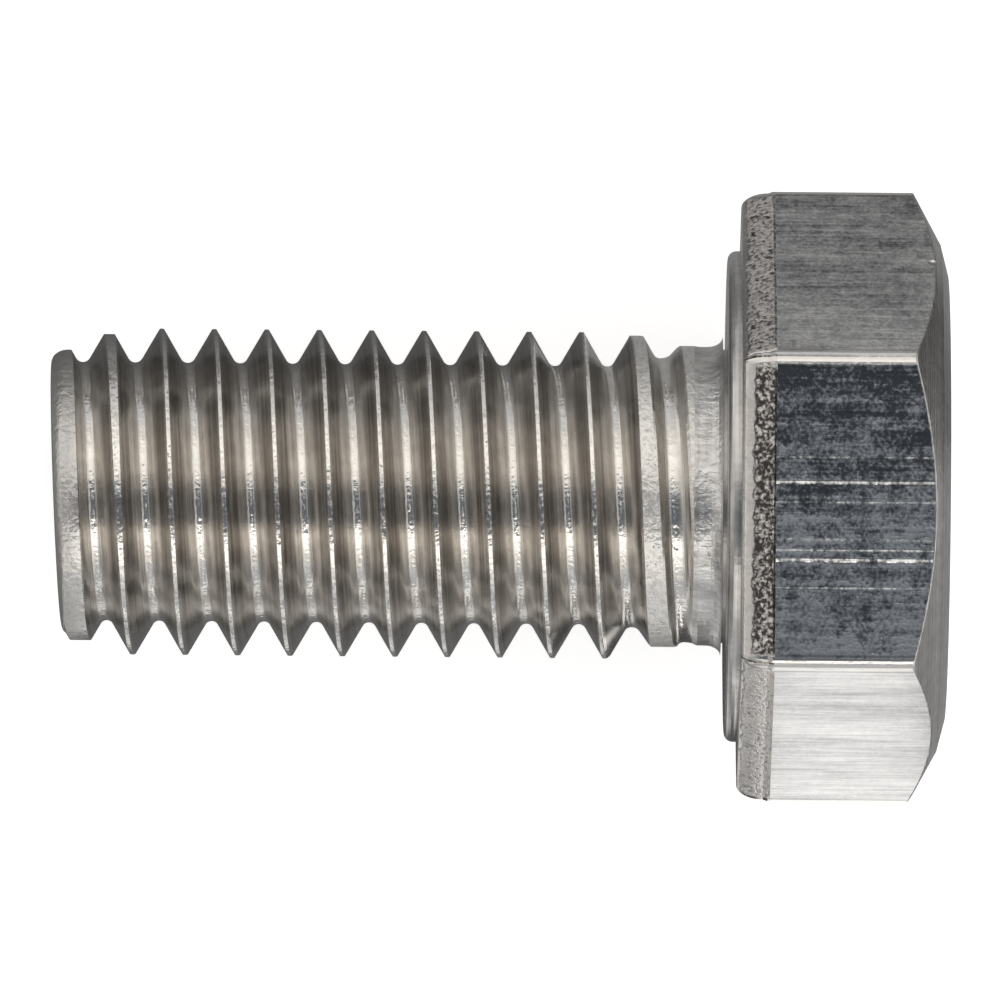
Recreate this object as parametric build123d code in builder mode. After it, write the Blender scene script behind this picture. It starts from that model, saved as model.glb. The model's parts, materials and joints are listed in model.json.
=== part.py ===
"""Hex head screw with a full length rolled thread, lying on a flat as it comes to rest.

The screw is made upright about the Z axis, with its bearing face at height zero, the head
above it and the shank below. It is then laid down along X, on the head and the thread.
"""

import os
from math import atan, ceil, cos, degrees, radians, sin, tan

from build123d import *

# Driving dimensions, in millimetres and degrees

# Thread
thread_pitch = 1.25
thread_major_diameter = 7.8
thread_groove_angle = 60.0
thread_crest_flat = 0.055
thread_root_flat = 0.231

# Run-out under the head, with drops from the bearing face and depths from the crest of the thread
run_out_drop = 2.797
crest_taper_lead = 0.6  # how far below the run-out the crests start to fade
crest_end_depth = 0.28
neck_depth = 0.34
neck_length = 0.32
collar_depth = 0.1
collar_flare_length = 0.36
collar_gap = 0.1
undercut_depth = 0.4

# Tip, with depths from the crest of the thread
shank_length = 16.0
tip_depth = 0.75
tip_lead_depth = 0.47
tip_lead_length = 0.3
tip_taper_length = 2.1

# Washer face under the head
bearing_relief_depth = 0.03
bearing_relief_clearance = 0.05  # from the crest of the thread out to the bearing face
washer_face_inset = 0.5  # from the flats in to its edge
washer_face_height = 0.31
washer_face_chamfer = 0.15

# Hexagon
across_flats = 12.7
head_height = 5.25
hex_corner_radius = 0.5
trim_band_height = 0.56
trim_band_taper = 11.0
trim_edge_height = 0.28
trim_edge_taper = 40.0
top_chamfer_inset = 0.65  # from the flats in to where the chamfer would meet the top
top_chamfer_angle = 28.5
top_edge_length = 0.75  # sloping length of the softer bevel between the chamfer and the top

# How far one body runs into or past the next where they are joined or cut
overrun = 0.4
# How far the groove cutter follows the flanks past the crest
crest_clearance = 0.02
# Part of a turn from the start of the run-out up to the crest that faces the floor
lower_crest_share = 0.25

# Derived sizes
crest_radius = thread_major_diameter / 2
groove_slope = tan(radians(thread_groove_angle / 2))
groove_half_width = (thread_pitch - thread_crest_flat) / 2
root_half_width = thread_root_flat / 2
groove_depth = (groove_half_width - root_half_width) / groove_slope
flank_end = groove_depth + crest_clearance
flank_half_width = groove_half_width + crest_clearance * groove_slope
root_radius = crest_radius - groove_depth
thread_turns = ceil((shank_length + thread_pitch - run_out_drop) / thread_pitch)
thread_start = -run_out_drop - thread_turns * thread_pitch
neck_radius = crest_radius - neck_depth
neck_top = -collar_gap - collar_flare_length
neck_bottom = neck_top - neck_length
run_out_length = run_out_drop + neck_bottom
run_out_slope = atan((groove_depth - neck_depth) / run_out_length)
crest_end_radius = crest_radius - crest_end_depth
crest_taper_bottom = -run_out_drop - crest_taper_lead
collar_radius = crest_radius - collar_depth
undercut_radius = crest_radius - undercut_depth
tip_radius = crest_radius - tip_depth
tip_lead_radius = crest_radius - tip_lead_depth
tip_lead_top = -shank_length + tip_lead_length
tip_taper_top = tip_lead_top + tip_taper_length
flat_radius = across_flats / 2
band_bottom = washer_face_height + trim_edge_height
flat_bottom = band_bottom + trim_band_height
band_inset = trim_band_height * tan(radians(trim_band_taper))
washer_radius = flat_radius - washer_face_inset
top_slope = radians(top_chamfer_angle)
top_edge_start = flat_radius - top_chamfer_inset - top_edge_length / 2
top_edge_end = top_edge_start + top_edge_length * cos(top_slope / 2)
top_edge_height = head_height - top_edge_length * sin(top_slope / 2)

# Cutter for the helical groove, which starts below the tip and rises to the neck as it runs out
with BuildPart() as groove:
    with BuildLine():
        for turn in range(thread_turns):
            Helix(thread_pitch, thread_pitch, root_radius, (0, 0, thread_start + turn * thread_pitch))
        Helix(
            thread_pitch / cos(run_out_slope),
            run_out_length / cos(run_out_slope),
            root_radius,
            (0, 0, -run_out_drop),
            cone_angle=degrees(run_out_slope),
        )
    with BuildSketch(Plane((root_radius, 0, thread_start), x_dir=(1, 0, 0), z_dir=(0, -1, 0))):
        with BuildLine():
            Polyline(
                (0, root_half_width),
                (flank_end, flank_half_width),
                (flank_end + overrun, flank_half_width),
                (flank_end + overrun, -flank_half_width),
                (flank_end, -flank_half_width),
                (0, -root_half_width),
                close=True,
            )
        make_face()
    sweep(is_frenet=True, clean=False)

with BuildPart() as shank:
    # Plain rod that the groove is cut in, running up into the head
    with BuildSketch(Plane.XY.offset(-shank_length)):
        Circle(crest_radius)
    extrude(amount=shank_length + washer_face_height)
    add(groove.part, mode=Mode.SUBTRACT)

    # Fading crests, the neck, its flared collar and the undercut above it
    with BuildSketch(Plane.XZ):
        with BuildLine():
            Polyline(
                (crest_radius + overrun, crest_taper_bottom - overrun),
                (crest_radius, crest_taper_bottom),
                (crest_end_radius, neck_bottom),
                (neck_radius, neck_bottom + crest_end_radius - neck_radius),
                (neck_radius, neck_top),
                (collar_radius, -collar_gap),
                (undercut_radius, -collar_gap),
                (undercut_radius, overrun),
                (crest_radius + overrun, overrun),
                close=True,
            )
        make_face()
    revolve(axis=Axis.Z, mode=Mode.SUBTRACT)

    # Tapered tip, which cuts the first crests down
    with BuildSketch(Plane.XZ):
        with BuildLine():
            Polyline(
                (tip_radius - overrun, -shank_length - overrun),
                (tip_radius, -shank_length),
                (tip_lead_radius, tip_lead_top),
                (crest_radius, tip_taper_top),
                (crest_radius + overrun, tip_taper_top + overrun),
                (crest_radius + overrun, -shank_length - overrun),
                close=True,
            )
        make_face()
    revolve(axis=Axis.Z, mode=Mode.SUBTRACT)

with BuildPart() as head:
    # Hexagon with rounded corners and a flat towards +Y, taller than the head
    with BuildSketch(Plane.XY.offset(flat_bottom)) as hexagon:
        RegularPolygon(flat_radius, 6, major_radius=False)
        fillet(hexagon.vertices(), hex_corner_radius)
    extrude(amount=head_height - flat_bottom + overrun)

    # Trimmed band under the flats, drawn in, and the bevelled edge below it
    with BuildSketch(Plane((0, 0, flat_bottom), x_dir=(1, 0, 0), z_dir=(0, 0, -1))) as band:
        RegularPolygon(flat_radius, 6, major_radius=False)
        fillet(band.vertices(), hex_corner_radius)
    extrude(amount=trim_band_height, taper=trim_band_taper)
    with BuildSketch(Plane((0, 0, band_bottom), x_dir=(1, 0, 0), z_dir=(0, 0, -1))) as edge:
        RegularPolygon(flat_radius - band_inset, 6, major_radius=False)
        fillet(edge.vertices(), hex_corner_radius - band_inset)
    extrude(amount=trim_edge_height, taper=trim_edge_taper)

    # Chamfered top with a soft edge, which cuts the hexagon to its height
    with BuildSketch(Plane.XZ):
        with BuildLine():
            Polyline(
                (0, head_height),
                (top_edge_start, head_height),
                (top_edge_end, top_edge_height),
                (top_edge_end + flat_radius, top_edge_height - flat_radius * tan(top_slope)),
                (top_edge_end + flat_radius, 0),
                (0, 0),
                close=True,
            )
        make_face()
    revolve(axis=Axis.Z, mode=Mode.INTERSECT)

    # Washer face, relieved around the collar
    with BuildSketch(Plane.XZ):
        with BuildLine():
            Polyline(
                (0, bearing_relief_depth),
                (collar_radius, bearing_relief_depth),
                (crest_radius + bearing_relief_clearance, 0),
                (washer_radius - washer_face_chamfer, 0),
                (washer_radius, washer_face_chamfer),
                (washer_radius, washer_face_height + overrun),
                (0, washer_face_height + overrun),
                close=True,
            )
        make_face()
    revolve(axis=Axis.Z)

with BuildPart() as screw:
    add(shank.part)
    add(head.part)

# Tilt at which the lower edge of a flat and the first high crest of the thread share the floor
crest_taper_slope = tip_lead_depth / tip_taper_length
floor_slopes = []
for turn in range(thread_turns):
    floor_crest = -run_out_drop + (lower_crest_share - turn) * thread_pitch
    floor_crest_depth = max(0, (tip_taper_top - floor_crest) * crest_taper_slope)
    floor_slopes.append((flat_radius - crest_radius + floor_crest_depth) / (flat_bottom - floor_crest))
rest_tilt = atan(min(floor_slopes))
rest_axis = (cos(rest_tilt), 0, sin(rest_tilt))

# Screw laid down about its bearing face, to find how far its box is from the origin
with BuildPart(Plane((0, 0, 0), x_dir=(0, 1, 0), z_dir=rest_axis)) as tilted:
    add(screw.part)
tilted_box = tilted.part.bounding_box()
rest_origin = (-tilted_box.center().X, -tilted_box.center().Y, -tilted_box.min.Z)

# Screw on the floor, centred over the origin
with BuildPart(Plane(rest_origin, x_dir=(0, 1, 0), z_dir=rest_axis)) as hex_head_screw:
    add(screw.part)
hex_head_screw.part.label = "hex_head_screw"

os.makedirs("parts", exist_ok=True)
export_step(hex_head_screw.part, "parts/hex_head_screw.step")
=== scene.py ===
"""Looks of a hex head screw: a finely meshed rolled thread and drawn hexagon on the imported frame.

The screw's own form is worked out in millimetres about its axis, with the bearing face at
height zero, the head above it and the shank below, and is then laid where the frame has it.
"""

import json
import math

import bpy
from mathutils import Matrix, Vector


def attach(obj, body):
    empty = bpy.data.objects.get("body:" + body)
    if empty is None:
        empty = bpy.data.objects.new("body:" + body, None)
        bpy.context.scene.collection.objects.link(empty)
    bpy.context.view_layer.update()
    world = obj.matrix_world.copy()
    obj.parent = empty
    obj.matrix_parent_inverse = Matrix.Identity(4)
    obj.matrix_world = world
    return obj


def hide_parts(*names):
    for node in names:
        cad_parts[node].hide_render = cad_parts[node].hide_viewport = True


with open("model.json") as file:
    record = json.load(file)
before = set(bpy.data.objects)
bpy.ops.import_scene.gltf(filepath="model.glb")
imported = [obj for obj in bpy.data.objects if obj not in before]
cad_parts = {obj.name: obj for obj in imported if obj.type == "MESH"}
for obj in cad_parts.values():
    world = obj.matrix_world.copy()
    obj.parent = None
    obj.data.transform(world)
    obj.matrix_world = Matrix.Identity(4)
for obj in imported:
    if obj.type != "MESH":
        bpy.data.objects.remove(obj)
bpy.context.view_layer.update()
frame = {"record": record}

MM = 0.001
NODE = "hex_head_screw"

# Sizes of the thread and the shank, as the solid has them but with rounded edges and small matches to the
# photograph, in millimetres. The skew, the bend and the spread are plain numbers.
SHANK_SIZES = {
    "Pitch": 1.25,
    "Crest radius": 3.889,
    "Crest half width": 0.045,
    "Crest crown": 0.003,
    "Root radius": 3.077,
    "Root rounding": 0.1931,
    "Shank length": 16.0,
    "Tip radius": 3.05,
    "Tip lead radius": 3.45,
    "Tip lead length": 0.3,
    "Tip skew": 0.045,
    "Tip skew line": 1.0,
    "Tip taper length": 1.45,
    "Run-out drop": 2.835,
    "Run-out bend": 1.7,
    "Run-out spread": 0.62,
    "Crest fade drop": 2.434,
    "Crest fade length": 0.894,
    "Crest end radius": 3.58,
    "Neck radius": 3.56,
    "Neck bottom": -0.78,
}

# Sizes of the neck, the washer face and the hexagon, in millimetres and degrees
HEAD_SIZES = {
    "Neck blend": 0.12,
    "Neck top": -0.46,
    "Collar radius": 3.8,
    "Collar top": -0.1,
    "Undercut radius": 3.5,
    "Relief height": 0.03,
    "Bearing inner radius": 3.95,
    "Washer radius": 5.85,
    "Washer rounding": 0.21,
    "Washer height": 0.31,
    "Flat radius": 6.35,
    "Corner rounding": 0.36,
    "Edge inset": 0.36,
    "Edge top": 0.95,
    "Band inset": 0.04,
    "Trim line height": 1.09,
    "Trim line half width": 0.03,
    "Trim line depth": 0.03,
    "Trim line fade": 0.15,
    "Rim rounding": 0.035,
    "Top edge start": 5.325,
    "Top edge end": 6.052,
    "Top edge height": 5.0654,
    "Top chamfer slope": 28.5,
    "Head height": 5.25,
}

TAU = 2 * math.pi
SIDES = 6
FLANK_ANGLE = math.radians(30)  # half of the angle between the flanks of a groove
FLANK_SLOPE = math.tan(FLANK_ANGLE)

# Mesh divisions
COLUMNS = 192  # around the screw
CORNER_SHARE = 0.1875  # part of half a side's columns spent on the rounded corner
CREST_ROWS, FLANK_ROWS, ROOT_ROWS = 3, 6, 6  # over half a pitch of the thread
ROWS_PER_PITCH = 2 * (CREST_ROWS + FLANK_ROWS + ROOT_ROWS)
TIP_RINGS, TIP_EDGE_ROWS = 8, 8
WELD_DISTANCE = 0.0004
SHARP_ANGLE = 34.0  # in degrees, past which an edge is not smoothed

# Reach of the finishes, in millimetres
CREST_MARGIN = 0.05  # depth over which the crests give way to the flanks
# The root's bright line is partly real burnish and partly painted highlight; its wider sheen is painted
# highlight.
ROOT_LINE, ROOT_GLOW = 0.1, 0.37  # from the middle of a root to the ends of its bright line and its sheen
FLAT_REACH = 3.44  # from the middle of a flat out to its rounded corners

# Rolling lines across one pitch of the thread
ROLLING_LINES = 22.0

# Drops from the bearing face where the crests turn dull towards the neck and the tip, and how gradually
DULL_DROP, DULL_TIP_DROP, DULL_MARGIN = 2.8, 15.0, 0.6

# Height over the bearing face where the torn band starts above the smooth lower edge, for each flat
TORN_BOTTOMS = (0.4, 0.58, 0.38, 0.5, 0.55, 0.5)

# How pale the torn band is and how patchy the steel above it, for each flat; the patchiness also sets how
# strong a painted shade runs across the flat
TORN_PALENESS = (0.85, 0.2, 1.3, 0.45, 0.4, 0.5)
PATCHINESS_AND_SHADE = (0.42, 1.0, 0.1, 0.6, 0.8, 0.5)

# Small dent in the rim of a flat: flat number, place across it, height and reach
DENT = (0, -0.45, 4.83, 0.14)

# Deeper scores on the flats: flat number, place across it, half width and strength
SCORES = (
    (1, -0.67, 0.035, 1.0),
    (1, 1.16, 0.04, 1.2),
    (1, 0.69, 0.05, 0.45),
    (1, 0.93, 0.03, 0.45),
    (1, -1.26, 0.03, 0.35),
    (1, -0.2, 0.03, 0.3),
    (1, 1.82, 0.03, 0.35),
    (0, -0.88, 0.045, 0.6),
    (0, 0.9, 0.03, 0.4),
    (2, -1.6, 0.04, 0.5),
    (2, 0.6, 0.03, 0.4),
    (3, 0.4, 0.04, 0.7),
    (3, -1.9, 0.03, 0.5),
    (4, 1.1, 0.04, 0.7),
    (5, -0.5, 0.04, 0.7),
    (5, 1.5, 0.03, 0.5),
)

# Finishes, in the order of the screw's material slots
THREAD, NECK, BAND, FLATS, TURNED = range(5)

# Colours of the steel, from dark to pale where there are two
FLANK_COLOURS = (0.33, 0.308, 0.284), (0.62, 0.59, 0.555)
# Roots are paler partly as real burnish and partly as painted highlight.
ROOT_COLOURS = (0.72, 0.69, 0.645), (0.97, 0.94, 0.89)
CREST_COLOURS = (0.62, 0.60, 0.565), (0.97, 0.945, 0.905)
CREST_PIT_COLOUR = (0.48, 0.465, 0.45)
TIP_COLOUR = (0.52, 0.505, 0.485)
NECK_COLOURS = (0.46, 0.45, 0.435), (0.84, 0.83, 0.81)
TORN_COLOURS = (0.07, 0.064, 0.06), (0.78, 0.745, 0.715)
LOWER_EDGE_COLOURS = (0.50, 0.485, 0.465), (0.84, 0.815, 0.78)
# The trim line's dark colour is painted shade in its groove.
TRIM_LINE_SHADE_COLOUR = (0.13, 0.12, 0.112)
FLAT_COLOURS = (0.18, 0.183, 0.19), (0.94, 0.93, 0.91)
# The pale corners are a painted highlight, and the dark line beside them is painted shade.
CORNER_HIGHLIGHT_COLOUR = (0.78, 0.755, 0.72)
CORNER_SHADE_LINE_COLOUR = (0.16, 0.14, 0.12)
TURNED_COLOURS = (0.36, 0.35, 0.34), (0.66, 0.645, 0.625)

# Camera, as the photograph has it: over the middle of the screw, in millimetres
CAMERA_DISTANCE = 450.0
CAMERA_LEAN = math.radians(3.0)  # about the screw's axis
CAMERA_ROLL = math.atan(0.0085)
CAMERA_AIM = (-5.375, -0.131)  # along the axis from the bearing face, and across it
FRAME_WIDTH = 23.838  # seen at the axis
SENSOR = 36.0
CAMERA_CLIP = (0.01, 20.0)  # in metres

# Light of the room by its lean from overhead about the screw's axis, in degrees
ROOM_LIGHT = (
    (-180, 0.4),
    (-110, 0.4),
    (-93, 0.42),
    (-80, 0.5),
    (-69, 0.62),
    (-59, 0.86),
    (-50, 1.25),
    (-43, 1.8),
    (-38, 2.15),
    (-35, 1.75),
    (-32.5, 0.45),
    (-30, 0.14),
    (-5, 0.12),
    (0, 0.18),
    (5, 0.42),
    (11, 0.84),
    (19, 1.14),
    (29, 1.2),
    (40, 1.06),
    (53, 0.84),
    (63, 0.7),
    (75, 0.62),
    (88, 0.56),
    (98, 0.52),
    (110, 0.4),
    (180, 0.3),
)
DIM_TINT = (0.82, 0.97, 1.18)
LIT_TINT = (1.0, 0.97, 0.93)
LIT_LEVEL = 0.8  # from which the light has all of the lit tint

# Light of the room's two ends, past the tip and past the head, and how it changes from side to side
TIP_END_LIGHT, TIP_END_CHANGE = 0.72, 1.1
HEAD_END_LIGHT, HEAD_END_CHANGE = 1.15, -0.7
END_START, END_BLEND = 0.25, 0.45  # along the screw, for a direction one long
END_RISE = 0.25  # height of a direction by which the ends have all of their light
END_TINT = (1.0, 0.985, 0.965)

# Floor
FLOOR_REACH = 6000.0
FLOOR_SHADE = 0.9
FLOOR_ROUGHNESS = 0.9
FLOOR_GLOW = 0.62

# Glowing cards on the floor that only the steel mirrors, as painted reflections: mostly painted shade for
# the floor near the screw, and near_bright_flag a painted highlight. Corners in millimetres, two and two,
# and the shades of the first two and of the others
FLAGS = {
    "tip_flag": (((-14, 8, 0.1), (-14, -8, 0.1), (-90, -8, 0.1), (-90, 8, 0.1)), 0.26, 0.34),
    "far_left_flag": (((-90, 8, 0.1), (-14, 8, 0.1), (-14, 90, 6), (-90, 90, 6)), 0.1, 0.12),
    "far_thread_flag": (((-14, 1, 0.1), (3, 1, 0.1), (3, 14, 0.1), (-14, 14, 0.1)), 0.07, 0.22),
    "far_flag": (((-14, 14, 0.1), (3, 14, 0.1), (3, 34, 0.1), (-14, 34, 0.1)), 0.24, 0.18),
    "far_edge_flag": (((-14, 34, 0.1), (3, 34, 0.1), (3, 90, 6), (-14, 90, 6)), 0.16, 0.16),
    "far_head_flag": (((3, 1, 0.2), (17, 1, 0.2), (17, 90, 6), (3, 90, 6)), 0.3, 0.34),
    "far_right_flag": (((17, 1, 0.2), (60, 1, 0.2), (60, 90, 6), (17, 90, 6)), 0.12, 0.15),
    "near_left_flag": (((-14, -8, 0.1), (-90, -8, 0.1), (-90, -60, 0.1), (-14, -60, 0.1)), 0.12, 0.15),
    "near_thread_flag": (((4, 1, 0.1), (-14, 1, 0.1), (-14, -8, 0.1), (4, -8, 0.1)), 0.07, 0.2),
    "near_bright_flag": (((4, -8, 0.1), (-14, -8, 0.1), (-14, -14, 0.1), (4, -14, 0.1)), 0.85, 0.6),
    "near_flag": (((4, -14, 0.1), (-14, -14, 0.1), (-14, -60, 0.1), (4, -60, 0.1)), 0.38, 0.42),
    "washer_flag": (((6.8, 1, 0.1), (4, 1, 0.1), (4, -60, 0.1), (6.8, -60, 0.1)), 0.07, 0.11),
    "head_flag": (((11.6, 1, 0.3), (11.6, -60, 0.3), (60, -60, 8), (60, 1, 8)), 0.32, 0.56),
}


class Field:
    """A value inside a node tree, whose arithmetic adds maths nodes to the tree."""

    def __init__(self, tree, socket):
        self.tree = tree
        self.socket = socket

    def math(self, operation, *others):
        node = self.tree.nodes.new("ShaderNodeMath")
        node.operation = operation
        for socket, value in zip(node.inputs, (self, *others)):
            if isinstance(value, Field):
                self.tree.links.new(value.socket, socket)
            else:
                socket.default_value = value
        return Field(self.tree, node.outputs[0])

    def __add__(self, other):
        return self.math("ADD", other)

    def __sub__(self, other):
        return self.math("SUBTRACT", other)

    def __mul__(self, other):
        return self.math("MULTIPLY", other)

    def __truediv__(self, other):
        return self.math("DIVIDE", other)

    def __neg__(self):
        return self.math("MULTIPLY", -1.0)

    def low(self, other):
        return self.math("MINIMUM", other)

    def high(self, other):
        return self.math("MAXIMUM", other)

    def clamp(self, bottom=0.0, top=1.0):
        return self.high(bottom).low(top)

    def mix(self, other, share):
        return self + (share * (self * -1.0 + other))

    def after(self, other):
        return self.math("GREATER_THAN", other)

    def nearness(self, reach):
        """1 where the value is zero, falling to 0 at a reach on either side."""
        return (self.math("ABSOLUTE") / -reach + 1.0).clamp()


def named_inputs(tree, sizes):
    """Adds one float input per size to a tree and returns them by name as fields."""
    entry = tree.nodes.new("NodeGroupInput")
    for name, value in sizes.items():
        socket = tree.interface.new_socket(name, in_out="INPUT", socket_type="NodeSocketFloat")
        socket.default_value = value
    return {name: Field(tree, entry.outputs[name]) for name in sizes}


def add_node(tree, kind, **inputs):
    """Adds a node and links or sets its inputs by name, with underscores for spaces."""
    node = tree.nodes.new(kind)
    for name, value in inputs.items():
        socket = node.inputs[name.replace("_", " ")]
        if isinstance(value, Field):
            tree.links.new(value.socket, socket)
        elif isinstance(value, bpy.types.NodeSocket):
            tree.links.new(value, socket)
        else:
            socket.default_value = value
    return node


def grid(tree, rows):
    """A sheet of vertices, with each one's row and its part of a turn about the axis."""
    mesh = add_node(tree, "GeometryNodeMeshGrid", Vertices_X=rows, Vertices_Y=COLUMNS + 1)
    index = Field(tree, tree.nodes.new("GeometryNodeInputIndex").outputs[0])
    row = (index / (COLUMNS + 1)).math("FLOOR")
    column = index - row * (COLUMNS + 1)
    side = column * (SIDES / COLUMNS)
    near = side.math("ROUND")
    away = side - near
    reach = away.math("ABSOLUTE") * 2.0
    half_side = math.pi / SIDES
    flat_share = 1 - HEAD_SIZES["Corner rounding"] / HEAD_SIZES["Flat radius"]
    corner_angle = half_side - math.atan(flat_share * math.tan(half_side))
    into_corner = (reach / CORNER_SHARE).low(1.0) * corner_angle
    along_flat = ((reach - CORNER_SHARE) / (1 - CORNER_SHARE)).high(0.0) * (half_side - corner_angle)
    angle = near * (TAU / SIDES) + away.math("SIGN") * (into_corner + along_flat)
    return mesh.outputs["Mesh"], row, angle


def thread_form(size, height, angle):
    """Radius of the threaded shank, what its crest is held to, and how far the middle of the groove is."""
    pitch, root_rounding, crest_half = size["Pitch"], size["Root rounding"], size["Crest half width"]
    groove = -size["Run-out drop"] + angle * pitch / TAU
    turns = ((height - groove) / pitch).math("ROUND")
    centre = groove + turns * pitch
    offset = height - centre
    run_out_length = size["Neck bottom"] + size["Run-out drop"]
    fading = ((centre + size["Run-out drop"]) / run_out_length).high(0.0)
    spread = offset.after(0.0) * fading.low(1.0) * size["Run-out spread"]
    across = offset.math("ABSOLUTE") * (spread * -1.0 + 1.0)
    rising = fading.math("POWER", size["Run-out bend"])
    root = size["Root radius"].mix(size["Neck radius"], rising)
    tangent_width = root_rounding * math.cos(FLANK_ANGLE)
    tangent_rise = root_rounding * (1 - math.sin(FLANK_ANGLE))
    hollow = (root_rounding * root_rounding - across * across).high(0.0).math("SQRT")
    round_root = root + root_rounding - hollow
    flank = root + tangent_rise + (across - tangent_width) / FLANK_SLOPE
    groove_radius = round_root.mix(flank, across.after(tangent_width))
    from_crest = pitch / 2 - across
    on_crest = (from_crest / crest_half).low(2.0)
    crown = size["Crest radius"] - on_crest * on_crest * size["Crest crown"]
    thread = groove_radius.low(crown)
    limit = crest_limit(size, centre + offset.math("SIGN") * pitch / 2)
    return thread.low(limit), limit, across


def crest_limit(size, height):
    """Largest radius that the tapered tip and the fading run-out leave to a crest at a height."""
    from_lead = height + size["Shank length"] - size["Tip lead length"]
    taper = size["Tip lead radius"].mix(size["Crest radius"], from_lead / size["Tip taper length"])
    fade_share = (height + size["Crest fade drop"]) / size["Crest fade length"]
    fade = size["Crest radius"].mix(size["Crest end radius"], fade_share.clamp())
    return taper.low(size["Crest radius"]).low(fade)


def helical_height(size, row, angle):
    """Height of a row of the thread: rows follow the helix and gather at crests and roots."""
    pitch = size["Pitch"]
    phase = row / ROWS_PER_PITCH
    crest = phase.math("ROUND")
    away = phase - crest
    share = away.math("ABSOLUTE") * 2.0
    turns_below = ((size["Shank length"] - size["Run-out drop"]) / pitch).math("CEIL") + 1.5
    lowest_crest = -size["Run-out drop"] - turns_below * pitch
    crest_height = lowest_crest + (crest + angle / TAU) * pitch
    limit = crest_limit(size, crest_height)
    rounding_width = size["Root rounding"] * math.cos(FLANK_ANGLE)
    rounding_rise = size["Root rounding"] * (1 - math.sin(FLANK_ANGLE))
    flank_width = (limit - size["Root radius"] - rounding_rise) * FLANK_SLOPE
    root_start = pitch / 2 - rounding_width
    crest_half = (root_start - flank_width).high(size["Crest half width"]).low(root_start)
    crest_share = 2 * CREST_ROWS / ROWS_PER_PITCH
    root_share = 2 * (CREST_ROWS + FLANK_ROWS) / ROWS_PER_PITCH
    on_crest = (share / crest_share).clamp()
    on_flank = ((share - crest_share) / (root_share - crest_share)).clamp()
    on_root = ((share - root_share) / (1 - root_share)).clamp()
    offset = crest_half * on_crest + (root_start - crest_half) * on_flank + rounding_width * on_root
    height = crest_height + away.math("SIGN") * offset
    return height.high(size["Tip lead length"] - size["Shank length"]).low(size["Neck bottom"])


def store(tree, mesh, name, data_type, domain, value):
    """Keeps a value on a mesh under a name, for the materials."""
    node = tree.nodes.new("GeometryNodeStoreNamedAttribute")
    node.data_type = data_type
    node.domain = domain
    node.inputs["Name"].default_value = name
    tree.links.new(mesh, node.inputs["Geometry"])
    if isinstance(value, (int, float)):
        node.inputs["Value"].default_value = value
    else:
        tree.links.new(value.socket if isinstance(value, Field) else value, node.inputs["Value"])
    return node.outputs[0]


def place(tree, mesh, radius, height, angle, finish, marks):
    """Moves a sheet's vertices about the axis and keeps what the materials read from it."""
    spot = add_node(
        tree,
        "ShaderNodeCombineXYZ",
        X=radius * angle.math("COSINE"),
        Y=radius * angle.math("SINE"),
        Z=height,
    )
    moved = add_node(tree, "GeometryNodeSetPosition", Geometry=mesh, Position=spot.outputs[0])
    sheet = store(tree, moved.outputs[0], "place", "FLOAT_VECTOR", "POINT", spot.outputs[0])
    for name, value in marks.items():
        sheet = store(tree, sheet, name, "FLOAT", "POINT", value)
    return store(tree, sheet, "finish", "FLOAT", "FACE", finish)


def hexagon_radius(size, angle, inset):
    """Radius of the rounded hexagon at an angle, with its flats drawn in by an inset."""
    half_side = math.pi / SIDES
    corner = (angle / (TAU / SIDES)).math("ROUND") * (TAU / SIDES)
    from_corner = (angle - corner).math("ABSOLUTE")
    flat = size["Flat radius"] - inset
    rounding = size["Corner rounding"] - inset
    on_flat = flat / (from_corner * -1.0 + half_side).math("COSINE")
    centre = (flat - rounding) / math.cos(half_side)
    reach = centre * from_corner.math("SINE")
    rise = (rounding * rounding - reach * reach).high(0.0).math("SQRT")
    on_corner = centre * from_corner.math("COSINE") + rise
    past_tangent = (on_flat * from_corner.math("SINE")).after(rounding * math.sin(half_side))
    return on_corner.mix(on_flat, past_tangent)


def finish_by_row(tree, starts):
    """Number of the finish on each face of a sheet, by the row where each finish starts."""
    face_row = Field(tree, tree.nodes.new("GeometryNodeInputIndex").outputs[0]) / COLUMNS
    finish = face_row * 0.0
    for start, number in starts:
        finish = finish.mix(number, face_row.after(start - 0.01))
    return finish


def straight(share):
    """A leg of the head's outline that goes straight."""
    return share, share


def out_first(share):
    """A leg that sets out sideways and bends up by a quarter turn."""
    quarter = share * (math.pi / 2)
    return quarter.math("SINE"), quarter.math("COSINE") * -1.0 + 1.0


def up_first(share):
    """A leg that sets out upwards and bends sideways by a quarter turn."""
    quarter = share * (math.pi / 2)
    return quarter.math("COSINE") * -1.0 + 1.0, quarter.math("SINE")


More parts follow.
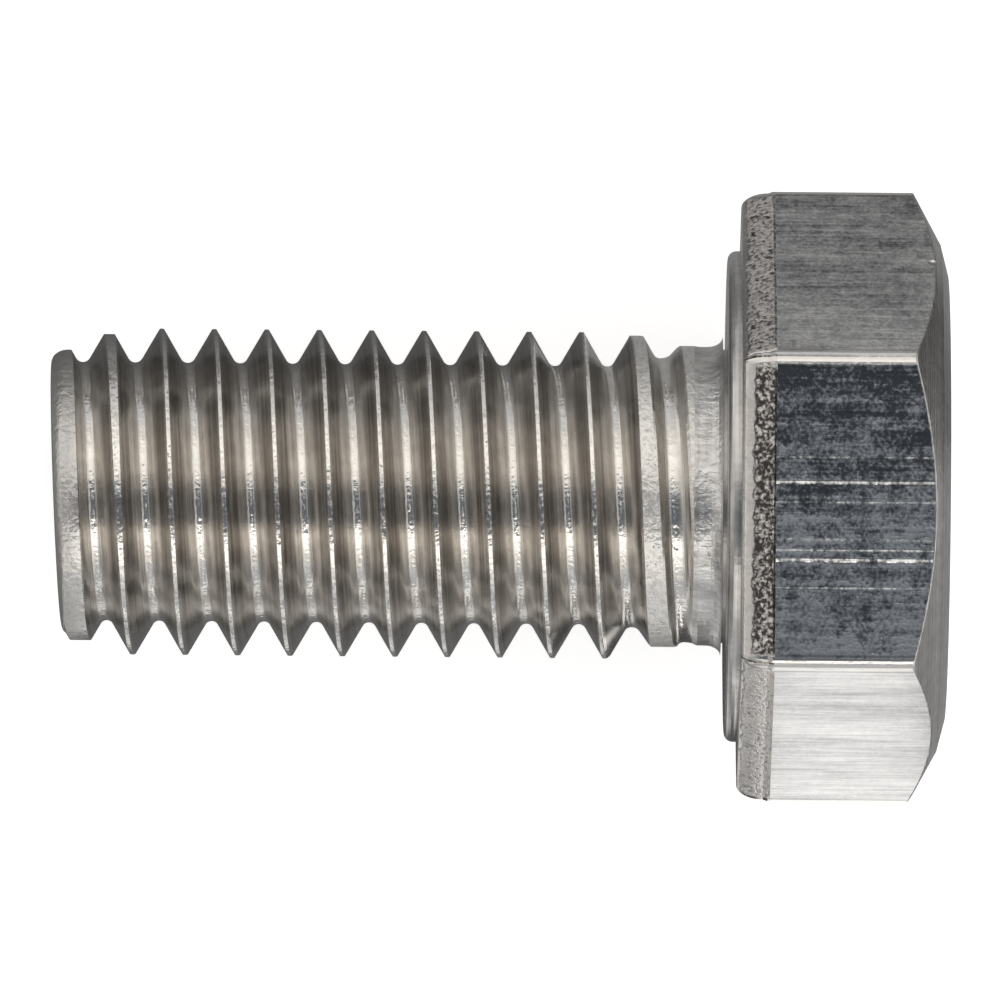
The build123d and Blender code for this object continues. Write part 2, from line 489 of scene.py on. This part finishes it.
def head_sheet(tree, size):
    """The neck, collar, washer face and hexagon as one sheet that ends in the middle of the top."""
    neck_rows, washer_rows, shoulder_rows, edge_rows, band_rows, trim_rows = 12, 16, 4, 16, 3, 4
    flat_rows, rim_rows, chamfer_rows, top_edge_rows, top_rows = 8, 4, 6, 7, 10
    shoulder_start = neck_rows + washer_rows
    edge_start = shoulder_start + shoulder_rows
    trim_start = edge_start + edge_rows + band_rows
    flats_start = trim_start + trim_rows
    flats_end = flats_start + flat_rows
    mesh, row, angle = grid(tree, flats_end + rim_rows + chamfer_rows + top_edge_rows + top_rows + 1)
    flat = (angle / (TAU / SIDES)).math("FLOOR")
    from_middle = angle - (flat + 0.5) * (TAU / SIDES)
    along_flat = from_middle.math("TANGENT").math("ABSOLUTE") * size["Flat radius"]
    on_flat = ((along_flat * -1.0 + FLAT_REACH) / size["Trim line fade"]).clamp()
    on_trim_line = (row - trim_start - trim_rows / 2).nearness(trim_rows / 2)
    trim_inset = on_trim_line * on_flat * size["Trim line depth"]
    on_edge = out_first(((row - edge_start) / edge_rows).clamp())[0]
    on_band = ((row - edge_start - edge_rows) / band_rows).clamp()
    edge_inset = size["Edge inset"].mix(0.0, on_edge) + size["Band inset"].mix(0.0, on_band)
    hexagon = hexagon_radius(size, angle, edge_inset + trim_inset)
    chamfer_slope = size["Top chamfer slope"].math("RADIANS").math("TANGENT")
    rim = size["Rim rounding"]
    rim_height = size["Top edge height"] - (hexagon - size["Top edge end"]) * chamfer_slope
    trim_bottom = size["Trim line height"] - size["Trim line half width"]
    trim_top = size["Trim line height"] + size["Trim line half width"]
    legs = (
        (3, size["Neck radius"], size["Neck bottom"] + size["Neck blend"], straight),
        (3, size["Neck radius"], size["Neck top"], straight),
        (6, size["Collar radius"], size["Collar top"], up_first),
        (2, size["Undercut radius"], size["Collar top"], straight),
        (1, size["Undercut radius"], size["Relief height"], straight),
        (2, size["Collar radius"], size["Relief height"], straight),
        (1, size["Bearing inner radius"], 0.0, straight),
        (4, size["Washer radius"] - size["Washer rounding"], 0.0, straight),
        (5, size["Washer radius"], size["Washer rounding"], out_first),
        (1, size["Washer radius"], size["Washer height"], straight),
        (shoulder_rows, hexagon, size["Washer height"], straight),
        (edge_rows, hexagon, size["Edge top"], out_first),
        (band_rows, hexagon, trim_bottom, straight),
        (trim_rows, hexagon, trim_top, straight),
        (flat_rows, hexagon, rim_height - rim, straight),
        (rim_rows, hexagon - rim, rim_height + rim * chamfer_slope, up_first),
        (chamfer_rows, size["Top edge end"], size["Top edge height"], straight),
        (top_edge_rows, size["Top edge start"], size["Head height"], straight),
        (top_rows, 0.0, size["Head height"], straight),
    )
    height = size["Neck bottom"]
    radius = thread_form(size, height, angle)[0]
    done = 0
    for count, to_radius, to_height, bend in legs:
        radius_share, height_share = bend(((row - done) / count).clamp())
        radius = radius.mix(to_radius, radius_share)
        height = height.mix(to_height, height_share)
        done += count
    starts = (
        (0, NECK),
        (neck_rows, TURNED),
        (shoulder_start, BAND),
        (flats_start, FLATS),
        (flats_end, TURNED),
    )
    finish = finish_by_row(tree, starts)
    across = radius * from_middle.math("SINE")
    return place(tree, mesh, radius, height, angle, finish, {"flat": flat, "across": across})


def shank_sheet(tree, size):
    """The rolled thread, whose rows follow the helix and stop at the tip and at the neck."""
    thread_length = SHANK_SIZES["Shank length"] - SHANK_SIZES["Run-out drop"]
    pitches = math.ceil(thread_length / SHANK_SIZES["Pitch"]) + 4
    mesh, row, angle = grid(tree, pitches * ROWS_PER_PITCH + 1)
    height = helical_height(size, row, angle)
    radius, limit, across = thread_form(size, height, angle)
    crest = ((radius - limit) / CREST_MARGIN + 1.0).clamp()
    return place(tree, mesh, radius, height, angle, THREAD, {"crest": crest, "from_root": across})


def tip_sheet(tree, size):
    """The flat end of the shank and its rounded edge, from the middle out to the first thread."""
    mesh, row, angle = grid(tree, TIP_RINGS + TIP_EDGE_ROWS + 1)
    out, up = out_first(((row - TIP_RINGS) / TIP_EDGE_ROWS).clamp())
    lead_top = size["Tip lead length"] - size["Shank length"]
    edge = size["Tip radius"].mix(thread_form(size, lead_top, angle)[0], out)
    radius = edge * (row / TIP_RINGS).low(1.0)
    skew = (radius * angle.math("COSINE") - size["Tip skew line"]) * size["Tip skew"]
    height = lead_top - (size["Tip lead length"] + skew) * (up * -1.0 + 1.0)
    finish = finish_by_row(tree, ((0, TURNED), (TIP_RINGS, THREAD)))
    return place(tree, mesh, radius, height, angle, finish, {"crest": 1.0, "from_root": 1.0})


def screw_tree(finishes):
    """Geometry of the whole screw about its own axis, in millimetres."""
    tree = bpy.data.node_groups.new("hex_head_screw_form", "GeometryNodeTree")
    size = named_inputs(tree, {**SHANK_SIZES, **HEAD_SIZES})
    tree.interface.new_socket("Geometry", in_out="OUTPUT", socket_type="NodeSocketGeometry")
    join = tree.nodes.new("GeometryNodeJoinGeometry")
    for sheet in (tip_sheet, shank_sheet, head_sheet):
        tree.links.new(sheet(tree, size), join.inputs[0])
    weld = add_node(tree, "GeometryNodeMergeByDistance", Geometry=join.outputs[0], Distance=WELD_DISTANCE)
    outward = add_node(tree, "GeometryNodeFlipFaces", Mesh=weld.outputs[0])
    bend = Field(tree, tree.nodes.new("GeometryNodeInputMeshEdgeAngle").outputs["Unsigned Angle"])
    sharp = add_node(
        tree,
        "GeometryNodeSetShadeSmooth",
        Geometry=outward.outputs[0],
        Selection=bend.after(math.radians(SHARP_ANGLE)),
        Shade_Smooth=False,
    )
    sharp.domain = "EDGE"
    geometry = add_node(tree, "GeometryNodeRealizeInstances", Geometry=sharp.outputs[0]).outputs[0]
    finish = add_node(tree, "GeometryNodeInputNamedAttribute", Name="finish")
    finish.data_type = "FLOAT"
    finish_number = Field(tree, finish.outputs["Attribute"])
    for number, material in enumerate(finishes):
        painted = add_node(
            tree,
            "GeometryNodeSetMaterial",
            Geometry=geometry,
            Selection=finish_number.after(number - 0.5),
            Material=material,
        )
        geometry = painted.outputs[0]
    leave = tree.nodes.new("NodeGroupOutput")
    tree.links.new(geometry, leave.inputs[0])
    return tree


def lying_matrix():
    """Where the frame lays the screw: from its own millimetres to metres on the floor."""
    mounts = {mount["name"]: mount for mount in frame["record"]["mounts"]}
    axis = Vector(mounts["head_top"]["axis"]).normalized()
    side = Vector((0.0, 1.0, 0.0))
    bearing = Vector(mounts["head_top"]["pos_m"]) - axis * HEAD_SIZES["Head height"] * MM
    turn = Matrix((side, axis.cross(side), axis)).transposed().to_4x4()
    return Matrix.Translation(bearing) @ turn @ Matrix.Scale(MM, 4)


def make_screw(finishes, lying):
    """The screw as one plain mesh in place of its solid."""
    tree = screw_tree(finishes)
    blank = bpy.data.objects.new("screw_blank", bpy.data.meshes.new("screw_blank"))
    bpy.context.scene.collection.objects.link(blank)
    modifier = blank.modifiers.new("form", "NODES")
    modifier.node_group = tree
    for item in tree.interface.items_tree:
        if item.in_out == "INPUT":
            modifier[item.identifier] = {**SHANK_SIZES, **HEAD_SIZES}[item.name]
    bpy.context.view_layer.update()
    depsgraph = bpy.context.evaluated_depsgraph_get()
    mesh = bpy.data.meshes.new_from_object(blank.evaluated_get(depsgraph), depsgraph=depsgraph)
    bpy.data.objects.remove(blank)
    mesh.transform(lying)
    screw = bpy.data.objects.new("screw", mesh)
    bpy.context.scene.collection.objects.link(screw)
    return screw


def shader_group(name, inputs, outputs):
    """An empty shader group with named sockets, and its inputs by name."""
    tree = bpy.data.node_groups.new(name, "ShaderNodeTree")
    for socket, kind in inputs.items():
        tree.interface.new_socket(socket, in_out="INPUT", socket_type=kind)
    for socket in outputs:
        tree.interface.new_socket(socket, in_out="OUTPUT", socket_type="NodeSocketFloat")
    entry = tree.nodes.new("NodeGroupInput")
    leave = tree.nodes.new("NodeGroupOutput")
    return tree, entry.outputs, leave.inputs


def parts_of(tree, vector):
    """The three numbers of a vector as fields."""
    split = add_node(tree, "ShaderNodeSeparateXYZ", Vector=vector)
    return [Field(tree, socket) for socket in split.outputs]


def vector_of(tree, x, y, z):
    """A vector of three numbers."""
    return add_node(tree, "ShaderNodeCombineXYZ", X=x, Y=y, Z=z).outputs[0]


def noise(tree, vector, scale, detail, roughness):
    """Even noise about a half, which is finer where its scale is larger."""
    inputs = {"Vector": vector, "Scale": scale, "Detail": detail, "Roughness": roughness}
    return Field(tree, add_node(tree, "ShaderNodeTexNoise", **inputs).outputs["Fac"])


def drawing_lines_group():
    """Fine lines along the axis, as drawing through a die leaves on bar."""
    tree, entry, leave = shader_group(
        "drawing_lines",
        {"Place": "NodeSocketVector", "Lines per mm": "NodeSocketFloat"},
        ("Fine lines", "Broad lines"),
    )
    x, y, z = parts_of(tree, entry["Place"])
    fineness = Field(tree, entry["Lines per mm"])
    fine = noise(tree, vector_of(tree, x, y, z * 0.05), fineness, 2.0, 0.6)
    broad = noise(tree, vector_of(tree, x, y, z * 0.08), fineness * 0.16, 2.0, 0.5)
    tree.links.new(fine.socket, leave["Fine lines"])
    tree.links.new(broad.socket, leave["Broad lines"])
    return tree


def mottling_group():
    """Clouds, grain and small pits, as shears and dies leave on steel."""
    tree, entry, leave = shader_group(
        "mottling",
        {"Place": "NodeSocketVector", "Grains per mm": "NodeSocketFloat"},
        ("Clouds", "Grain", "Pits"),
    )
    coarseness = Field(tree, entry["Grains per mm"])
    clouds = noise(tree, entry["Place"], coarseness * 0.3, 4.0, 0.6)
    grain = noise(tree, entry["Place"], coarseness, 2.0, 0.6)
    pits = ((grain - 0.6) * 8.0).clamp()
    for name, value in (("Clouds", clouds), ("Grain", grain), ("Pits", pits)):
        tree.links.new(value.socket, leave[name])
    return tree


def steel(name):
    """A bare steel material, its node tree, its shader and the screw's own place on the surface."""
    material = bpy.data.materials.new(name)
    material.use_nodes = True
    tree = material.node_tree
    shader = tree.nodes["Principled BSDF"]
    shader.inputs["Metallic"].default_value = 1.0
    return material, tree, shader, kept_mark(tree, "place", "Vector")


def kept_mark(tree, name, output="Fac"):
    """What the form keeps on the screw's mesh under a name."""
    node = tree.nodes.new("ShaderNodeAttribute")
    node.attribute_name = name
    return node.outputs[output]


def use_group(tree, group, **inputs):
    """Places a shader group with its own values and returns what it puts out, by name."""
    node = tree.nodes.new("ShaderNodeGroup")
    node.node_tree = group
    for name, value in inputs.items():
        socket = node.inputs[name.replace("_", " ")]
        if isinstance(value, bpy.types.NodeSocket):
            tree.links.new(value, socket)
        else:
            socket.default_value = value
    return {socket.name: Field(tree, socket) for socket in node.outputs}


def blend_colours(tree, share, low, high):
    """A colour between two, by a share; either may be a colour socket."""
    node = tree.nodes.new("ShaderNodeMix")
    node.data_type = "RGBA"
    tree.links.new(share.socket, node.inputs["Factor"])
    ends = [socket for socket in node.inputs if socket.type == "RGBA"]
    for socket, colour in zip(ends, (low, high)):
        if isinstance(colour, bpy.types.NodeSocket):
            tree.links.new(colour, socket)
        else:
            socket.default_value = (*colour, 1.0)
    return next(socket for socket in node.outputs if socket.type == "RGBA")


def tone(marks, contrast, middle):
    """Share between a dark colour and a pale one, from marks that lie about zero."""
    return (marks * contrast + middle).clamp()


def finish_steel(tree, shader, colour, roughness, height, depth):
    """Links a colour, a roughness and a relief of some millimetres to a steel."""
    tree.links.new(colour, shader.inputs["Base Color"])
    tree.links.new(roughness.socket, shader.inputs["Roughness"])
    bump = add_node(tree, "ShaderNodeBump", Height=height, Distance=depth * MM, Strength=1.0)
    tree.links.new(bump.outputs[0], shader.inputs["Normal"])


def rolling_lines(tree, spot):
    """Lines along the helix, which close on themselves from one turn to the next."""
    x, y, z = parts_of(tree, spot)
    turned = z * (TAU / SHANK_SIZES["Pitch"]) - y.math("ARCTAN2", x)
    reach = ROLLING_LINES / TAU
    spread = vector_of(tree, turned.math("COSINE") * reach, turned.math("SINE") * reach, z * 3.0)
    return noise(tree, spread, 1.0, 3.0, 0.6)


def rolled_thread_steel(mottling):
    """Flanks with lines along the helix, burnished roots with a painted highlight along and beside them,
    and paler, pitted crests.
    """
    material, tree, shader, spot = steel("rolled_thread_steel")
    crest = Field(tree, kept_mark(tree, "crest"))
    from_root = Field(tree, kept_mark(tree, "from_root"))
    root_line = from_root.nearness(ROOT_LINE)
    root_glow = from_root.nearness(ROOT_GLOW)
    marks = use_group(tree, mottling, Place=spot, Grains_per_mm=9.0)
    flecks = use_group(tree, mottling, Place=spot, Grains_per_mm=5.5)["Grain"]
    lines = rolling_lines(tree, spot)
    height = parts_of(tree, spot)[2]
    near_tip = ((height + DULL_TIP_DROP) / -DULL_MARGIN).clamp()
    dull = ((height + DULL_DROP) / DULL_MARGIN).clamp().high(near_tip)
    flank_marks = (lines - 0.5) * 0.8 + (marks["Clouds"] - 0.5) * 0.35
    flank = blend_colours(tree, tone(flank_marks, contrast=3.4, middle=0.46), *FLANK_COLOURS)
    # Painted highlight over real burnish: a pale line along each root and a wider painted sheen on the
    # flanks beside it.
    burnished_and_highlit = blend_colours(tree, marks["Clouds"], *ROOT_COLOURS)
    burnish_and_highlight = (root_line * 0.35 + root_glow * 0.74).clamp()
    flank = blend_colours(tree, burnish_and_highlight, flank, burnished_and_highlit)
    worn_tone = tone(marks["Grain"] - 0.5, contrast=2.4, middle=0.6)
    worn = blend_colours(tree, worn_tone, *CREST_COLOURS)
    worn = blend_colours(tree, marks["Pits"], worn, CREST_PIT_COLOUR)
    colour = blend_colours(tree, crest, flank, worn)
    colour = blend_colours(tree, near_tip * crest * 0.7, colour, TIP_COLOUR)
    crest_roughness = (marks["Grain"] * 0.14 + 0.1).mix(0.4, dull)
    flank_roughness = (lines * 0.16 + 0.1).mix(0.28, root_glow).mix(0.13, root_line)
    roughness = flank_roughness.mix(crest_roughness, crest)
    flank_relief = lines * 0.35 + marks["Clouds"] * 0.2 + root_line * flecks * 4.5
    crest_relief = marks["Grain"] * 0.9 - marks["Pits"] * 0.8 + flecks * (dull * 2.6 + 2.2)
    relief = flank_relief.mix(crest_relief, crest)
    finish_steel(tree, shader, colour, roughness, relief, depth=0.008)
    return material


def pressed_neck_steel(mottling):
    """Dull neck and collar, marked by the dies along the axis and across it."""
    material, tree, shader, spot = steel("pressed_neck_steel")
    marks = use_group(tree, mottling, Place=spot, Grains_per_mm=6.0)
    x, y, z = parts_of(tree, spot)
    drag = noise(tree, vector_of(tree, x * 6.0, y * 6.0, z * 1.6), 1.0, 2.0, 0.6)
    pressed = (marks["Clouds"] - 0.5) * 0.5 + (drag - 0.5) * 0.6
    colour = blend_colours(tree, tone(pressed, contrast=3.2, middle=0.55), *NECK_COLOURS)
    roughness = marks["Clouds"] * 0.2 + 0.24
    above_thread = ((z - SHANK_SIZES["Neck bottom"]) / 0.25).clamp()
    relief = drag * above_thread * 1.5 + marks["Grain"] * 1.1 - marks["Pits"] * 0.6
    finish_steel(tree, shader, colour, roughness, relief, depth=0.02)
    return material


def by_flat(tree, values):
    """The value that belongs to the flat under a spot."""
    flat = Field(tree, kept_mark(tree, "flat"))
    chosen = None
    for number, value in enumerate(values):
        share = (flat - number).nearness(0.5) * value
        chosen = share if chosen is None else chosen + share
    return chosen


def sheared_band_steel(mottling, drawing_lines):
    """Torn, grainy steel where the flats were trimmed, smooth round the lower edge and the corners."""
    material, tree, shader, spot = steel("sheared_band_steel")
    marks = use_group(tree, mottling, Place=spot, Grains_per_mm=9.5)
    lines = use_group(tree, drawing_lines, Place=spot, Lines_per_mm=9.0)
    height = parts_of(tree, spot)[2]
    across = Field(tree, kept_mark(tree, "across")).math("ABSOLUTE")
    ragged = marks["Clouds"] - 0.5
    paleness = by_flat(tree, TORN_PALENESS)
    above_edge = ((height + ragged * 0.3 - by_flat(tree, TORN_BOTTOMS)) / 0.05).clamp()
    torn = above_edge * ((across * -1.0 + FLAT_REACH + ragged * 0.3) / 0.08).clamp()
    torn_marks = (marks["Grain"] - 0.5) * 0.7 + ragged * 0.3
    torn_colour = blend_colours(tree, tone(torn_marks, contrast=6.5, middle=paleness), *TORN_COLOURS)
    smooth_colour = blend_colours(tree, marks["Clouds"], *LOWER_EDGE_COLOURS)
    colour = blend_colours(tree, torn, smooth_colour, torn_colour)
    # Painted shade: a dark line along the trim groove, stronger where the torn band is less pale.
    from_trim_line = height - HEAD_SIZES["Trim line height"]
    in_trim_line = from_trim_line.nearness(HEAD_SIZES["Trim line half width"]) * torn
    trim_line_shade = in_trim_line * (paleness * -1.0 + 1.25).clamp()
    colour = blend_colours(tree, trim_line_shade, colour, TRIM_LINE_SHADE_COLOUR)
    roughness = marks["Clouds"] * 0.15 + 0.16 + torn * 0.12
    relief = (marks["Grain"] * 1.2 + marks["Clouds"] - marks["Pits"] * 0.6) * (torn * 0.92 + 0.08)
    relief = relief + lines["Fine lines"] * 0.15
    finish_steel(tree, shader, colour, roughness, relief, depth=0.05)
    return material


def dent_group():
    """A small dent by its middle and reach: how deep it is at a spot."""
    tree, entry, leave = shader_group(
        "dent",
        {"Place": "NodeSocketVector", "Middle": "NodeSocketVector", "Reach": "NodeSocketFloat"},
        ("Depth",),
    )
    away = tree.nodes.new("ShaderNodeVectorMath")
    away.operation = "DISTANCE"
    tree.links.new(entry["Place"], away.inputs[0])
    tree.links.new(entry["Middle"], away.inputs[1])
    share = (Field(tree, away.outputs["Value"]) / Field(tree, entry["Reach"]) * -1.0 + 1.0).clamp()
    tree.links.new((share * share * (share * -2.0 + 3.0)).socket, leave["Depth"])
    return tree


def rim_dent(tree, dent, spot):
    """The dent of this screw's rim on a spot."""
    side, across, height, reach = DENT
    turn = (side + 0.5) * TAU / SIDES
    out = Vector((math.cos(turn), math.sin(turn), 0.0)) * HEAD_SIZES["Flat radius"]
    middle = out + Vector((-math.sin(turn), math.cos(turn), 0.0)) * across + Vector((0.0, 0.0, height))
    return use_group(tree, dent, Place=spot, Middle=middle, Reach=reach)["Depth"]


def score_lines(tree, spot):
    """Single scratches along a flat, uneven along their length."""
    height = parts_of(tree, spot)[2]
    flat = Field(tree, kept_mark(tree, "flat"))
    across = Field(tree, kept_mark(tree, "across"))
    scores = None
    for number, (side, offset, width, strength) in enumerate(SCORES):
        on_line = (across - offset).nearness(width) * (flat - side).nearness(0.5)
        beads = noise(tree, vector_of(tree, height * 5.0, number * 7.3, 0.0), 1.0, 3.0, 0.6)
        score = on_line * ((beads - 0.3) * 2.8).clamp() * strength
        scores = score if scores is None else scores.high(score)
    return scores


def drawn_flat_steel(mottling, drawing_lines, dent):
    """Flats and corners of drawn bar: grainy, with lines and a few deeper scores along the axis."""
    material, tree, shader, spot = steel("drawn_flat_steel")
    lines = use_group(tree, drawing_lines, Place=spot, Lines_per_mm=10.0)
    marks = use_group(tree, mottling, Place=spot, Grains_per_mm=11.0)
    blotches = use_group(tree, mottling, Place=spot, Grains_per_mm=3.6)
    scores = score_lines(tree, spot)
    patchiness_and_shade = by_flat(tree, PATCHINESS_AND_SHADE)
    hollow = rim_dent(tree, dent, spot)
    signed_across = Field(tree, kept_mark(tree, "across"))
    across = signed_across.math("ABSOLUTE")
    # Painted highlight on the rounded corners, with a painted dark shade line along the flat just before
    # each corner.
    corner = ((across - FLAT_REACH) / 0.05).clamp()
    corner_shade_line = (across - FLAT_REACH + 0.03).nearness(0.05)
    drawn = (lines["Fine lines"] - 0.5) * 0.45 + (lines["Broad lines"] - 0.5) * 0.3
    fine_patches = (marks["Grain"] - 0.5) * 0.7 + (blotches["Grain"] - 0.5) * 0.5
    # Painted shade: each flat is lighter towards one side and darker towards the other, as strongly as it
    # is patchy.
    patches_and_shade = (fine_patches + (blotches["Clouds"] - 0.5) * 0.5 + signed_across * 0.035) * patchiness_and_shade
    flat_marks = drawn * (patchiness_and_shade * 0.6 + 0.4) + patches_and_shade
    colour = blend_colours(tree, tone(flat_marks, contrast=3.7, middle=0.49), *FLAT_COLOURS)
    colour = blend_colours(tree, corner, colour, CORNER_HIGHLIGHT_COLOUR)
    colour = blend_colours(tree, corner_shade_line * 0.5, colour, CORNER_SHADE_LINE_COLOUR)
    roughness = lines["Fine lines"] * 0.1 + 0.1 + marks["Clouds"] * 0.1 + scores * 0.3
    relief = drawn * 0.6 + patches_and_shade * 0.9 + scores * 1.2 - hollow * 8.0
    finish_steel(tree, shader, colour, roughness, relief, depth=0.01)
    return material


def turned_face_steel(mottling, dent):
    """Top, chamfer, washer face and tip, with faint turning rings."""
    material, tree, shader, spot = steel("turned_face_steel")
    x, y, z = parts_of(tree, spot)
    reach = (x * x + y * y).math("SQRT")
    rings = noise(tree, vector_of(tree, reach, z * 1.4, 0.0), 9.0, 2.0, 0.6)
    marks = use_group(tree, mottling, Place=spot, Grains_per_mm=8.0)
    hollow = rim_dent(tree, dent, spot)
    turned = (rings - 0.5) * 0.7 + (marks["Clouds"] - 0.5) * 0.4
    colour = blend_colours(tree, tone(turned, contrast=3.2, middle=0.45), *TURNED_COLOURS)
    roughness = rings * 0.14 + 0.2
    relief = rings * 1.6 + marks["Grain"] * 0.7 - marks["Pits"] * 0.3 - hollow * 8.0
    finish_steel(tree, shader, colour, roughness, relief, depth=0.009)
    return material


def make_finishes():
    """The screw's materials, in the order of its slots."""
    drawing_lines = drawing_lines_group()
    mottling = mottling_group()
    dent = dent_group()
    return (
        rolled_thread_steel(mottling),
        pressed_neck_steel(mottling),
        sheared_band_steel(mottling, drawing_lines),
        drawn_flat_steel(mottling, drawing_lines, dent),
        turned_face_steel(mottling, dent),
    )


def camera_axes(lying):
    """The camera's right, up and back directions before its roll."""
    across, over, along = lying.to_3x3().normalized().col
    back = over * math.cos(CAMERA_LEAN) + across * math.sin(CAMERA_LEAN)
    return along, back.cross(along), back


def make_camera(lying):
    """The photograph's camera, far off and with a long lens."""
    along, across, back = camera_axes(lying)
    right = along * math.cos(CAMERA_ROLL) + across * math.sin(CAMERA_ROLL)
    up = across * math.cos(CAMERA_ROLL) - along * math.sin(CAMERA_ROLL)
    aim = lying.translation + (along * CAMERA_AIM[0] + across * CAMERA_AIM[1]) * MM
    camera = bpy.data.objects.new("camera", bpy.data.cameras.new("camera"))
    camera.data.sensor_width = SENSOR
    camera.data.lens = SENSOR * CAMERA_DISTANCE / FRAME_WIDTH
    camera.data.clip_start, camera.data.clip_end = CAMERA_CLIP
    turn = Matrix((right, up, back)).transposed().to_4x4()
    camera.matrix_world = Matrix.Translation(aim + back * CAMERA_DISTANCE * MM) @ turn
    bpy.context.scene.collection.objects.link(camera)
    bpy.context.scene.camera = camera


def make_sheet(name, corners):
    """A flat sheet of the studio, from its corners in millimetres."""
    mesh = bpy.data.meshes.new(name)
    mesh.from_pydata([Vector(corner) * MM for corner in corners], [], [tuple(range(len(corners)))])
    sheet = bpy.data.objects.new(name, mesh)
    bpy.context.scene.collection.objects.link(sheet)
    return sheet


def make_floor():
    """A wide pale floor, white to the camera and in the steel, that still takes the screw's shadow."""
    signs = ((-1, -1), (1, -1), (1, 1), (-1, 1))
    floor = make_sheet("floor", [(x * FLOOR_REACH, y * FLOOR_REACH, 0) for x, y in signs])
    material = bpy.data.materials.new("pale_floor")
    material.use_nodes = True
    tree = material.node_tree
    shader = tree.nodes["Principled BSDF"]
    shader.inputs["Base Color"].default_value = (FLOOR_SHADE, FLOOR_SHADE, FLOOR_SHADE, 1.0)
    shader.inputs["Roughness"].default_value = FLOOR_ROUGHNESS
    rays = tree.nodes.new("ShaderNodeLightPath")
    seen = Field(tree, rays.outputs["Is Camera Ray"]).high(Field(tree, rays.outputs["Is Glossy Ray"]))
    seen = seen.high(Field(tree, rays.outputs["Is Transmission Ray"]))
    shader.inputs["Emission Color"].default_value = (1.0, 1.0, 1.0, 1.0)
    tree.links.new((seen * FLOOR_GLOW).socket, shader.inputs["Emission Strength"])
    floor.data.materials.append(material)


def make_flag(name, corners, near_shade, far_shade):
    """A glowing grey card beside the screw that only its steel mirrors, as a painted reflection, graded
    from two corners to the others.
    """
    card = make_sheet(name, corners)
    shades = card.data.attributes.new("shade", "FLOAT", "POINT")
    shades.data.foreach_set("value", (near_shade, near_shade, far_shade, far_shade))
    material = bpy.data.materials.new(name)
    material.use_nodes = True
    tree = material.node_tree
    tree.nodes.remove(tree.nodes["Principled BSDF"])
    paint = add_node(tree, "ShaderNodeEmission", Strength=kept_mark(tree, "shade"))
    tree.links.new(paint.outputs[0], tree.nodes["Material Output"].inputs["Surface"])
    card.data.materials.append(material)
    card.visible_camera = False
    card.visible_diffuse = False
    card.visible_shadow = False


def dot(tree, vector, axis):
    """How far a direction goes along an axis."""
    node = tree.nodes.new("ShaderNodeVectorMath")
    node.operation = "DOT_PRODUCT"
    tree.links.new(vector, node.inputs[0])
    node.inputs[1].default_value = axis
    return Field(tree, node.outputs["Value"])


def make_room(lying):
    """Soft light from both sides along the screw, dim overhead, in a room that is white to the camera."""
    world = bpy.data.worlds.new("room")
    bpy.context.scene.world = world
    world.use_nodes = True
    tree = world.node_tree
    paint = tree.nodes["Background"]
    direction = tree.nodes.new("ShaderNodeTexCoord").outputs["Generated"]
    along, across, over = (dot(tree, direction, axis) for axis in camera_axes(lying))
    lean = across.math("ARCTAN2", over) * (1 / TAU) + 0.5
    lights = tree.nodes.new("ShaderNodeValToRGB")
    tree.links.new(lean.socket, lights.inputs["Fac"])
    stops = lights.color_ramp.elements
    for number, (degrees, level) in enumerate(ROOM_LIGHT):
        stop = stops[number] if number < len(stops) else stops.new(1.0)
        stop.position = degrees / 360 + 0.5
        warmth = min(level / LIT_LEVEL, 1.0)
        tint = [dim + (lit - dim) * warmth for dim, lit in zip(DIM_TINT, LIT_TINT)]
        stop.color = (*(level * share for share in tint), 1.0)
    ends = ((along.math("ABSOLUTE") - END_START) / END_BLEND).clamp()
    tip_end = (across * TIP_END_CHANGE + 1.0).high(0.0) * TIP_END_LIGHT
    head_end = (across * HEAD_END_CHANGE + 1.0) * HEAD_END_LIGHT
    end_level = (over / END_RISE).clamp() * tip_end.mix(head_end, along.after(0.0))
    end_colour = vector_of(tree, *(end_level * share for share in END_TINT))
    filled = blend_colours(tree, ends, lights.outputs["Color"], end_colour)
    rays = tree.nodes.new("ShaderNodeLightPath")
    seen = Field(tree, rays.outputs["Is Camera Ray"])
    tree.links.new(blend_colours(tree, seen, filled, (1.0, 1.0, 1.0)), paint.inputs["Color"])
    paint.inputs["Strength"].default_value = 1.0


lying = lying_matrix()
make_camera(lying)
screw = make_screw(make_finishes(), lying)
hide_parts(NODE)
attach(screw, "root")
make_floor()
make_room(lying)
for flag, (corners, near_shade, far_shade) in FLAGS.items():
    make_flag(flag, corners, near_shade, far_shade)
bpy.context.scene.view_settings.view_transform = "Standard"
